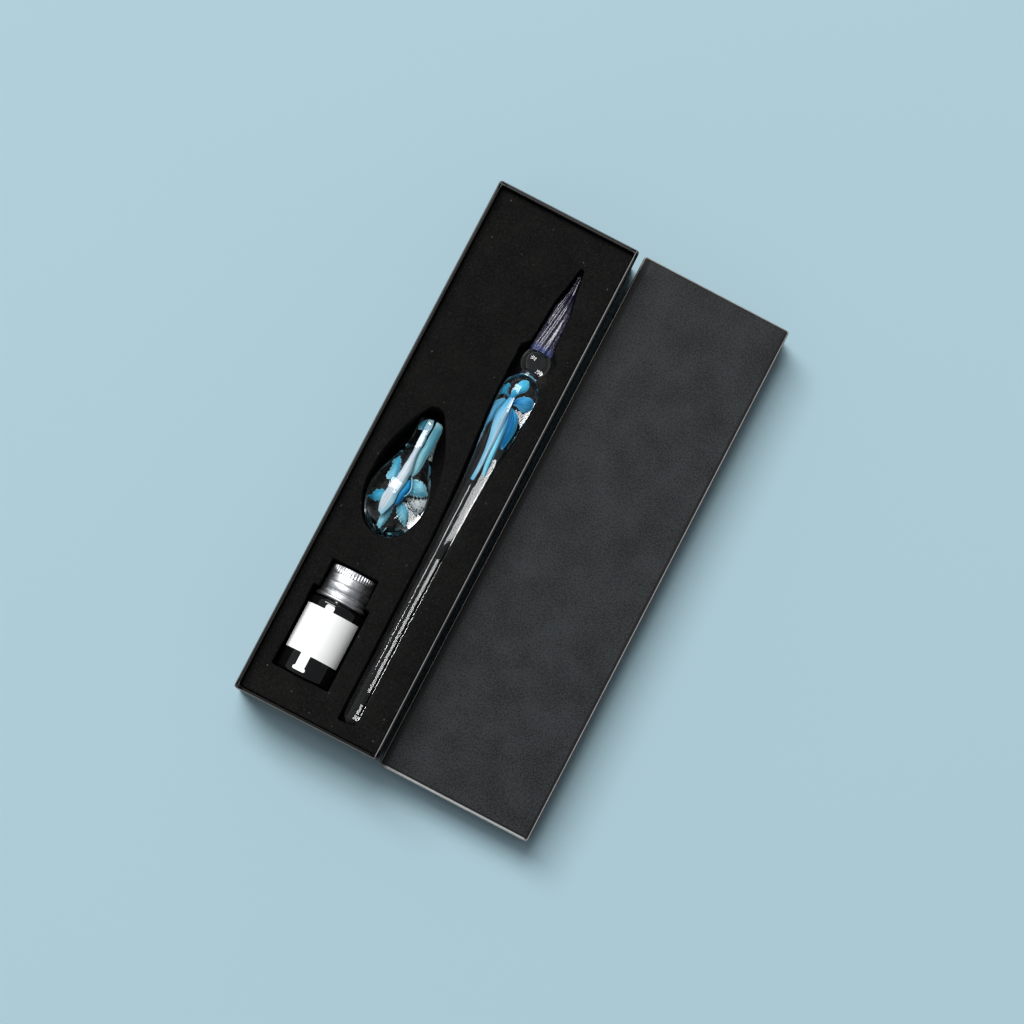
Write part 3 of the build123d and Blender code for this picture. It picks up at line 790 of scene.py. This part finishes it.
def on_view_ray(x, y, height):
    """Moves a place read at the foam's level along the camera's ray to another height."""
    step = (READ_HEIGHT - height) / (CAMERA_PLACE[2] - READ_HEIGHT)
    return (CAMERA_PLACE[0] + (x - CAMERA_PLACE[0]) * (1 + step),
            CAMERA_PLACE[1] + (y - CAMERA_PLACE[1]) * (1 + step))


def behind_glass(x, y, share, axis_x, axis_z, radius):
    """Where a point lies inside round glass that is seen through it at x, y, at a share of its height."""
    most = 0.985 * radius
    rise = circle_height(radius, min(abs(x - axis_x), most))
    x, y = on_view_ray(x, y, axis_z + rise)
    off = max(-most, min(most, x - axis_x))
    rise = circle_height(radius, off)
    meets = math.asin(off / radius)
    bent = meets - math.asin(off / radius / GLASS_BEND)
    depth = rise * (1 - share)
    lean = (y - CAMERA_PLACE[1]) / CAMERA_PLACE[2] / GLASS_BEND
    return Vector((axis_x + off - math.tan(bent) * depth, y + lean * depth, axis_z + rise * share))


def in_pen(x, y, share):
    radius = pen_radius(min(y, BULB_Y + 5.5)) - 0.1
    return behind_glass(x, y, share, pen_x, pen_z, radius)


def rest_profile():
    """Half of the drop in plan: two tangent arcs at the foot, a flank drawn in, and a rounded head."""
    shank = REST_LENGTH - REST_HEAD_ROUND
    belly = shank * 0.36
    foot = REST_HALF * 0.8
    rise = belly - foot
    side = (REST_HALF ** 2 + rise ** 2 - foot ** 2) / (2 * (REST_HALF - foot))
    meet = math.degrees(math.atan2(-rise, side - REST_HALF))
    points = arc(0, foot, foot, -90, meet, 18)
    points += arc(REST_HALF - side, belly, side, meet, 0, 8)[1:]
    for step in range(1, 33):
        share = step / 32
        half = REST_HALF_TOP + (REST_HALF - REST_HALF_TOP) * math.cos(math.pi / 2 * share) ** 3.2
        points.append((half, belly + (shank - belly) * share))
    for step in range(1, 13):
        angle = math.pi / 2 * step / 12
        points.append((REST_HALF_TOP * math.cos(angle) ** 0.8, shank + REST_HEAD_ROUND * math.sin(angle)))
    points[0], points[-1] = (0, 0), (0, REST_LENGTH)
    return points


REST_PROFILE = rest_profile()


def rest_radius(along):
    for (r0, y0), (r1, y1) in zip(REST_PROFILE, REST_PROFILE[1:]):
        if y0 <= along <= y1:
            return r0 + (r1 - r0) * (along - y0) / max(y1 - y0, 1e-6)
    return REST_PROFILE[-2][0]


def in_rest(x, y, share):
    """The same for the drop, whose axis leans in plan."""
    along = min(max(y - REST_FOOT_Y + 0.6, 1.5), REST_LENGTH - 1.5)
    axis_x = REST_FOOT_X - math.tan(math.radians(REST_TILT)) * (y - REST_FOOT_Y)
    return behind_glass(x, y, share, axis_x, REST_Z, rest_radius(along) - 0.15)


def between(points, share):
    """A point at a share of the way along a list of points, on a smooth curve through them."""
    place = share * (len(points) - 1)
    i = min(int(place), len(points) - 2)
    t = place - i
    before, here = points[max(i - 1, 0)], points[i]
    there, after = points[i + 1], points[min(i + 2, len(points) - 1)]
    return tuple(
        0.5 * (2 * b + (c - a) * t + (2 * a - 5 * b + 4 * c - d) * t * t + (3 * b - a - 3 * c + d) * t ** 3)
        for a, b, c, d in zip(before, here, there, after))


def petal(inside, name, material, left, right, share, crown=0.12, ragged=0.0, seed=1, thick=0.35):
    """A thin petal between two rims, cupped under the glass, with a ragged edge where asked."""
    left, right = (list(zip(rim[::2], rim[1::2])) for rim in (left, right))
    chance = random.Random(seed)
    piece = begin(name, bpy.ops.mesh.primitive_grid_add, x_subdivisions=10, y_subdivisions=36, size=MM)
    run = sum(math.dist(a, b) for a, b in zip(left, left[1:]))
    teeth = max(2, round(run / 1.2))
    depths = [[chance.uniform(0.35, 1.0) for _ in range(teeth + 1)] for _ in range(2)]
    shifts = (chance.random(), chance.random())
    for vertex in piece.data.vertices:
        u = vertex.co.x / MM + 0.5
        v = vertex.co.y / MM + 0.5
        lx, ly = between(left, v)
        rx, ry = between(right, v)
        side = int(u >= 0.5)
        width = math.hypot(rx - lx, ry - ly)
        tooth = v * teeth + shifts[side]
        bite = ragged * depths[side][int(tooth) % (teeth + 1)] * (1 - tooth % 1) / max(width / 2, 0.5)
        u_now = 0.5 + (u - 0.5) * (1 - min(bite, 0.62))
        domed = share + crown * (1 - (2 * u - 1) ** 2) * math.sin(math.pi * min(max(v, 0.05), 0.95))
        vertex.co = inside(lx + (rx - lx) * u_now, ly + (ry - ly) * u_now, domed) * MM
    thicken = piece.modifiers.new("thickness", "SOLIDIFY")
    thicken.thickness = thick * MM
    thicken.offset = -1
    activate(piece)
    bpy.ops.object.modifier_apply(modifier="thickness")
    open_mesh(piece)
    take_all()
    bpy.ops.mesh.remove_doubles(threshold=0.01 * MM)
    close_outward()
    smooth(piece, 60)
    piece.data.materials.append(MATERIALS[material])
    return piece


def join(name, pieces, body, *nodes):
    """Makes one piece of several, each with its own material."""
    activate(pieces[0])
    for piece in pieces[1:]:
        piece.select_set(True)
    bpy.ops.object.join()
    whole = bpy.context.object
    whole.name = name
    return finish_piece(whole, body, None, *nodes)


# Leaves of the flowers: name, colour, left and right rim as seen in plan (x and y by turns), height in the
# glass, cup, depth of the ragged teeth, seed of their chance, and thickness
TEETH = 1.25
PEN_PETALS = (
    ("sky", "sky_petal",
     (11, 34.7, 10.4, 36.2, 10.6, 37.9, 11, 39.8, 11.8, 41.2, 13.2, 42.1),
     (12.1, 34.6, 12.6, 36.1, 13.6, 37.5, 14.8, 38.7, 15.2, 40.4, 14.2, 42.1), 0.5, 0.14),
    ("round", "round_petal",
     (12.4, 33.6, 13.3, 35.4, 14.5, 36.5, 16.2, 37.4, 17.9, 37.6, 19.3, 36.7),
     (13, 32.5, 14.4, 32.6, 15.5, 32.1, 17, 31.8, 18.6, 32.2, 19.9, 34.4), 0.42, 0.14),
    ("long", "long_petal",
     (12.7, 31.2, 13.6, 28.4, 14.3, 25.8, 14.6, 23.4, 14.9, 20.7, 15.5, 18.5, 16.4, 16.4),
     (13.2, 31.3, 14.9, 30.5, 16.5, 29.2, 17.5, 26.8, 18, 24.1, 17.8, 21.4, 16.9, 16.4), 0.36, 0.14),
    ("left", "left_petal",
     (9.3, 33.4, 7.8, 32.1, 6.4, 30.1, 6.8, 26.7, 7, 24.2, 7.5, 21.2, 7.8, 19.5),
     (10.2, 33, 9.7, 31.1, 9, 28.9, 8.7, 26.2, 8.4, 24.2, 7.9, 22.3, 7.9, 19.5), 0.4, 0.12),
    ("teal", "teal_petal",
     (10.5, 34.3, 9, 34.6, 7.2, 34.2, 6.8, 35.4, 6.9, 37, 7.8, 38.8),
     (10.8, 35.1, 9.7, 35.5, 9.1, 36.6, 8.9, 37.6, 9.3, 38.3, 8.4, 38.9), 0.38, 0.14, 0.25, 5),
    ("collar", "collar",
     (6.2, 39, 6.8, 41.1, 8.6, 43.2, 11.1, 44.6, 14.2, 45, 16.8, 44, 19.2, 41.9, 19.9, 40.5),
     (6.7, 38.9, 7.4, 40.7, 9.1, 42.5, 11.4, 43.9, 14.1, 44.2, 16.5, 43.2, 18.7, 41.3, 19.6, 40.2),
     0.3, 0.02, 0.0, 1, 0.2),
)
PEN_LONE = (
    ("pen_stem", "stem_petal",
     (10.9, 34.6, 10.4, 32.4, 10, 29.9, 9.6, 27.4, 9.7, 24.9, 10.3, 22, 11.2, 18.2, 12, 13, 12.3, 7.3,
      12.1, 1.8),
     (11.9, 34.6, 12.3, 32.2, 12.4, 30.1, 12.5, 27.2, 12.8, 24, 12.9, 20.6, 12.9, 17, 12.6, 13, 12.7, 7.3,
      12.5, 1.8), 0.6, 0.16, 0.0, 1, 0.6),
    ("pen_streak", "middle_petal",
     (12.4, 31.2, 13.1, 27.4, 13.3, 23.6, 13.4, 20, 13.8, 16, 13.9, 12.2, 14.5, 7.4, 15.3, 4.8),
     (12.8, 31.2, 13.9, 28.1, 14.5, 24.6, 14.8, 21, 14.9, 17.4, 15.1, 12.6, 15.3, 8, 15.5, 4.8),
     0.45, 0.18, 0.0, 1, 0.5),
)
REST_PETALS = (
    ("upper_left", "cloud_petal",
     (-13.2, -12.8, -15.4, -12.2, -15.8, -10.2, -15.7, -7.9, -16.3, -6, -15.5, -4.1, -14.6, -2.9),
     (-12, -11, -11.9, -8.4, -12, -6.4, -12.5, -4.9, -13.2, -3.9, -13.8, -3.3, -14.2, -2.9),
     0.5, 0.08, TEETH, 2),
    ("left", "dark_tip",
     (-12.9, -18.8, -14.2, -20.2, -15.7, -20.8, -16.7, -20.5, -18.2, -20.8),
     (-12.9, -14.4, -14.8, -15.5, -16.6, -16.8, -17.2, -18.4, -18.4, -20), 0.4, 0.08, TEETH, 3),
    ("foot_left", "ice_petal",
     (-11.3, -20.8, -11.1, -23.4, -10.8, -25.6, -10.4, -27.3, -9.5, -28.1),
     (-8.1, -18.6, -8, -20.6, -8.1, -22.8, -8.4, -25.2, -9.1, -28), 0.45, 0.08, TEETH, 4),
    ("foot_right", "ice_petal",
     (-7.4, -18.8, -6.3, -20.6, -4.6, -22.3, -3, -23.2, -1.2, -23.9),
     (-5.5, -16.1, -3.8, -17.4, -2.5, -18.6, -1.5, -20.4, -0.8, -23.3), 0.45, 0.1, TEETH, 5),
    ("right", "ice_petal",
     (-6.3, -11.6, -6.4, -8.2, -5.1, -7.7, -3.6, -7.4, -1.8, -8, 0.1, -9.8),
     (-5.7, -15.1, -4.9, -13.9, -2.8, -13.6, -0.9, -12.9, 0.2, -12.3, 1, -11.4), 0.5, 0.1, TEETH, 6),
    ("low_right", "speckled_glass",
     (-5.7, -14.8, -3.6, -13.8, -1.6, -13.2, 0.2, -12.4, 1.2, -12),
     (-5.7, -15.3, -3.2, -16.8, -1.2, -18.2, 0.4, -19, 2, -16.3), 0.35, 0.08, TEETH, 7),
    ("second_band", "cyan_band",
     (-8, -7.4, -8.4, -4.6, -9.2, -1.2, -9.2, 1.8, -8.6, 4.1, -8.6, 7, -8.4, 10.2, -8.4, 13.9),
     (-7, -7.7, -5.9, -5.2, -5.6, -2.2, -5.6, 0.4, -5.2, 4.2, -5.1, 7.6, -5, 11, -5.8, 13.9),
     0.62, 0.12, 0.3, 8),
    ("third_band", "grey_streak",
     (-5.3, 0.5, -5.4, 2.3, -5.5, 4.5, -5.7, 7.8, -5.4, 10.4),
     (-2.7, 0.5, -3.5, 3.3, -4, 6.1, -4.5, 8.4, -4.9, 10.6), 0.4, 0.1, 0.5, 9),
    ("head_patch", "cloud_petal",
     (-13.2, 9, -13.6, 10.6, -13.2, 12.2),
     (-11.2, 9.4, -11.1, 11.4, -11.4, 13.4), 0.5, 0.1, 0.5, 10),
)
REST_HEART = (
    ("heart", "heart_petal",
     (-8.7, -18.8, -9, -16.6, -9.1, -14.4, -8.9, -12.2, -8.3, -10.1, -7.5, -9),
     (-7.5, -18.6, -6.5, -16.9, -6.1, -14.6, -5.6, -12.4, -5.9, -10.4, -7, -8.9), 0.66, 0.1, 0.3, 11),
    ("heart_rim", "ice_petal",
     (-6.9, -14.9, -6, -13.6, -5.7, -11.8, -6.4, -9.6, -7.4, -8),
     (-6.2, -14.9, -5.4, -13.7, -5, -12, -5.7, -9.6, -7, -7.8), 0.74, 0.06, 0.1, 12),
)
REST_LONE = (
    # The white band: partly white glass inside the drop, partly a painted highlight of the strip light.
    ("rest_band", "white_band",
     (-11.2, 13.7, -11.2, 11.6, -11, 9.4, -10.8, 5.4, -10.6, 1.3, -10.7, -2.1, -11.2, -5.4, -11.4, -9.5,
      -12.6, -12.8, -13.2, -16.4, -13, -20.7, -12.2, -22.9),
     (-9.4, 14.4, -9.1, 11.5, -9.3, 9.1, -9.3, 5.4, -9.5, 1.7, -9.2, -2.6, -8.5, -6.4, -8.7, -10.2,
      -9.3, -14.5, -9, -17.8, -9.7, -21.2, -10.6, -24.2), 0.74, 0.12, 0.45, 13, 0.7),
)


def lone_leaf(inside, body, solid, leaf):
    """A leaf that is a piece by itself."""
    name, material, *form = leaf
    finish_piece(petal(inside, name, material, *form), body, material, solid)


def pen_flower():
    """The flower in the pen's bulb."""
    join("pen_petals", [petal(in_pen, *leaf) for leaf in PEN_PETALS], "pen", "pen_flower_petals")
    for solid, leaf in zip(("pen_flower_stem", "pen_flower_streak"), PEN_LONE):
        lone_leaf(in_pen, "pen", solid, leaf)


def rest_glass():
    """The clear drop, turned, ground flat underneath and set down in its place."""
    piece = turned("rest_drop", REST_PROFILE, 96)
    open_mesh(piece)
    take_all()
    bpy.ops.mesh.bisect(plane_co=(0, 0, -(REST_HALF - REST_FLAT) * MM), plane_no=(0, 0, 1), use_fill=True,
                        clear_inner=True)
    close_outward()
    smooth(piece, 50)
    set_down(piece, REST_FOOT_X, REST_FOOT_Y, REST_Z, math.radians(REST_TILT))
    finish_slotted(piece, "pen_rest", "clear_glass", "rest_glass")


def rest_flower():
    """The flower in the drop: ragged petals round a blue heart, and the drawn-out bands, of which the white
    one is partly a painted highlight.
    """
    join("rest_petals", [petal(in_rest, *leaf) for leaf in REST_PETALS], "pen_rest", "rest_flower_petals")
    join("rest_heart", [petal(in_rest, *leaf) for leaf in REST_HEART], "pen_rest", "rest_flower_heart")
    lone_leaf(in_rest, "pen_rest", "rest_flower_band", REST_LONE[0])


# Bottle

def bottle():
    """Black glass bottle: pushed-up base, round shoulder, neck, bore and hollow inside."""
    base, lip = bottle_base_y, LIP_Y
    wall, floor = 1.5, 2.4
    room = BOTTLE_RADIUS - wall
    outside = [(0, base + 0.7), (3.0, base + 0.62), (6.0, base + 0.35)]
    outside += arc(BOTTLE_RADIUS - 1.2, base + 1.2, 1.2, -90, 0, 8)
    outside += arc(BOTTLE_RADIUS - 1.3, SHOULDER_Y - 1.3, 1.3, 0, 90, 8)
    outside += [(NECK_OF_BOTTLE + 0.3, SHOULDER_Y), (NECK_OF_BOTTLE, SHOULDER_Y + 0.3)]
    outside += arc(NECK_OF_BOTTLE - 0.3, lip - 0.3, 0.3, 0, 90, 4)
    inside = [(5.6, lip), (5.6, SHOULDER_Y - wall + 0.4)]
    inside += arc(room - 1.3, SHOULDER_Y - wall - 1.3, 1.3, 90, 0, 6)
    inside += arc(room - 1.3, base + floor + 1.3, 1.3, 0, -90, 6)
    inside += [(0, base + floor)]
    piece = turned("bottle_glass", outside + inside, 128)
    smooth(piece, 35)
    set_down(piece, bottle_x, 0, bottle_z)
    finish_slotted(piece, "bottle", "bottle_glass", "ink_bottle")


def cap():
    """Rolled cap: bead, sloping skirt, groove, ring, groove, plain band and knurled grip."""
    knurls, per_knurl = 48, 4
    bore, skin = NECK_OF_BOTTLE + 0.25, CAP_RADIUS
    low = CAP_OPEN_Y
    profile = arc(skin + 0.3, low + 0.7, 0.7, -90, 90, 8)
    groove, grip = low + 1.4 + 1.7, cap_top_y - 2.6
    offsets = (
        (groove, ((0.32, -0.25), (0.1, 0), (-0.2, 0.25), (0, 0.5), (0.16, 0.9), (0.22, 1.9), (0.16, 2.9))),
        (groove + 3.3, ((0, 0), (-0.2, 0.25), (-0.02, 0.5))),
        (grip, ((-0.01, -0.5), (-0.12, -0.2), (0, 0), (0, 0.7), (0, 1.4))))
    for level, places in offsets:
        profile += [(skin + out, level + up) for out, up in places]
    profile += arc(skin - 0.4, cap_top_y - 0.4, 0.4, 0, 90, 5)
    profile += [(skin - 1.4, cap_top_y - 0.02), (skin - 2.0, cap_top_y - 0.16), (0, cap_top_y - 0.16)]
    profile += [(0, cap_top_y - 0.5), (bore, cap_top_y - 0.5), (bore, low + 0.2), (bore + 0.2, low)]
    profile.append(profile[0])
    piece = turned("bottle_cap_metal", profile, knurls * per_knurl)
    open_mesh(piece)

    def in_groove(vertex):
        outside = math.hypot(vertex.co.x, vertex.co.z) / MM > skin - 0.5
        high = grip + 0.3 < vertex.co.y / MM < cap_top_y - 0.2
        return high and outside and column(vertex, knurls * per_knurl) % per_knurl in (0, 1)
    pick(piece, in_groove)
    narrow(0.972)
    close_mesh()
    smooth(piece, 30)
    set_down(piece, bottle_x, 0, bottle_z)
    finish_slotted(piece, "cap", "rolled_aluminium", "bottle_cap")


# Wrapping paper of the tray and the lid

def wrapped_box(name, low, high, turn, upside_down, rounding):
    """A paper-wrapped box with rounded corners and soft edges, open at the top or at the bottom."""
    slack = abs(math.sin(turn))
    size = (high - low) / MM
    width, length, height = size.x - size.y * slack, size.y - size.x * slack, size.z
    piece = begin(name, bpy.ops.mesh.primitive_cube_add, size=MM)
    piece.scale = (width, length, height)
    bpy.ops.object.transform_apply(scale=True)
    open_mesh(piece)
    pick(piece, lambda e: abs(e.verts[0].co.z - e.verts[1].co.z) > 0.5 * height * MM, "edges")
    bpy.ops.mesh.bevel(offset=BOX_CORNER * MM, segments=6, affect="EDGES")
    pick(piece, lambda f: f.normal.z > 0.9, "faces")
    bpy.ops.mesh.inset(thickness=BOX_WALL * MM)
    extrude((0, 0, (BOX_WALL - height) * MM))

    soften(piece, height / 2 * MM, RIM_ROUND, 3)
    soften(piece, -height / 2 * MM, rounding, 4)
    close_outward()
    smooth(piece, 35)
    piece.modifiers.new("flat_faces", "WEIGHTED_NORMAL").keep_sharp = True
    bpy.ops.object.modifier_apply(modifier="flat_faces")
    if upside_down:
        piece.rotation_euler = (math.pi, 0, 0)
        bpy.ops.object.transform_apply(rotation=True)
    centre = (low + high) / 2 / MM
    set_down(piece, centre.x, centre.y, centre.z, turn)
    return piece


def wraps():
    finish_slotted(wrapped_box("tray_paper", tray_low, tray_high, 0.0, False, TRAY_ROUND), "tray",
                   "black_paper", "tray_wrap")
    finish_slotted(wrapped_box("lid_paper", lid_low, lid_high, LID_TURN, True, LID_ROUND), "lid",
                   "grained_paper", "lid_wrap")


# Foam

def soft_foam(name, solid):
    """The foam sheet that the solid stands for, with its cut edges rounded over a little."""
    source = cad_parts[solid]
    piece = source.copy()
    piece.data = source.data.copy()
    for key in [key for key in piece.keys() if key.startswith("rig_")]:
        del piece[key]
    piece.parent = None
    bpy.context.scene.collection.objects.link(piece)
    piece.name = name
    top = max(v.co.z for v in piece.data.vertices)
    open_mesh(piece)
    take_all()
    bpy.ops.mesh.remove_doubles(threshold=0.005 * MM)
    bpy.ops.mesh.dissolve_limited(angle_limit=math.radians(0.5))
    soften(piece, top, FOAM_ROUND, 3)
    close_mesh()
    smooth(piece, 35)
    return finish_slotted(piece, "insert", "black_foam", solid)


# Finish of the pieces that keep their solids

KEPT = {
    "tray_board": "greyboard", "lid_board": "greyboard",
    # The label's tab above and stem below are white paper where the black glass shows a highlight: a painted
    # highlight.
    "tray_corner_stays": "paper_tape", "lid_corner_stays": "paper_tape", "bottle_label": "label_paper",
    "ink": "ink", "cap_liner": "cap_liner",
}


def dress_kept():
    for solid, material in KEPT.items():
        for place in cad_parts[solid].material_slots:
            place.material = MATERIALS[material]


# Camera, floor and light

def camera():
    rx, ry, rz = CAMERA_TILT
    seen = Matrix.Rotation(-rz, 3, "Z") @ Matrix.Rotation(rx, 3, "X") @ Matrix.Rotation(ry, 3, "Y")
    data = bpy.data.cameras.new("camera")
    data.sensor_width = SENSOR_MM
    data.lens = LENS_PX / FRAME_PX * SENSOR_MM
    data.clip_start, data.clip_end = 0.01, 50
    eye = bpy.data.objects.new("camera", data)
    bpy.context.scene.collection.objects.link(eye)
    eye.matrix_world = Matrix.Translation(Vector(CAMERA_PLACE) * MM) @ seen.transposed().to_4x4()
    bpy.context.scene.camera = eye


def floor():
    piece = begin("floor", bpy.ops.mesh.primitive_plane_add, (0, 0, -0.0002), size=12)
    piece.data.materials.append(pale_floor())


def softbox(name, place, aim, width, length, brightness):
    """A rectangular light whose long side runs along the box, set by the brightness of its face."""
    place, aim = Vector(place), Vector(aim)
    data = bpy.data.lights.new(name, "AREA")
    data.shape = "RECTANGLE"
    data.size, data.size_y = width, length
    data.energy = brightness * math.pi * width * length
    light = bpy.data.objects.new(name, data)
    bpy.context.scene.collection.objects.link(light)
    away = (place - aim).normalized()
    along = (Vector((0, 1, 0)) - away * away.y).normalized()
    side = along.cross(away)
    light.matrix_world = Matrix.Translation(place) @ Matrix((side, along, away)).transposed().to_4x4()


def studio():
    """A small softbox nearly overhead, a large one high up at the back left, and a dim room."""
    softbox("strip", (-1.14, 0.33, 4.35), (0.0, 0.02, 0.0), 0.78, 0.5, STRIP_BRIGHTNESS)
    softbox("sky", (-3.3, 2.6, 5.9), (0.0, 0.0, 0.0), 5.8, 3.0, SKY_BRIGHTNESS)
    world = bpy.data.worlds.new("studio")
    world.use_nodes = True
    bpy.context.scene.world = world
    tree = world.node_tree
    way = axes(tree, tree.nodes.new("ShaderNodeTexCoord").outputs["Generated"])
    low = fade(tree, calc(tree, "ABSOLUTE", way[2]), 0.02, 0.28, 1.0, 0.0)
    left = fade(tree, way[0], -0.9, 0.2, 1.0, 0.0)
    front = fade(tree, way[1], -0.9, 0.3, 1.0, 0.0)
    glow = times(tree, low, weigh(tree, left, LEFT_GLOW, weigh(tree, front, FRONT_GLOW, ROOM_GLOW)))
    side = fade(tree, way[0], -1.0, 0.5, 0.34, 0.17)
    give(tree, tree.nodes["Background"].inputs,
         {"Strength": calc(tree, "ADD", glow, side), "Color": (0.92, 0.97, 1.0)})


camera()
floor()
studio()
dress_kept()
pen_handle()
pen_nib()
pen_flower()
rest_glass()
rest_flower()
bottle()
cap()
wraps()
for level in ("top", "middle", "base"):
    soft_foam("foam_sheet_" + level, "foam_" + level)
bpy.context.scene.view_settings.view_transform = "Standard"
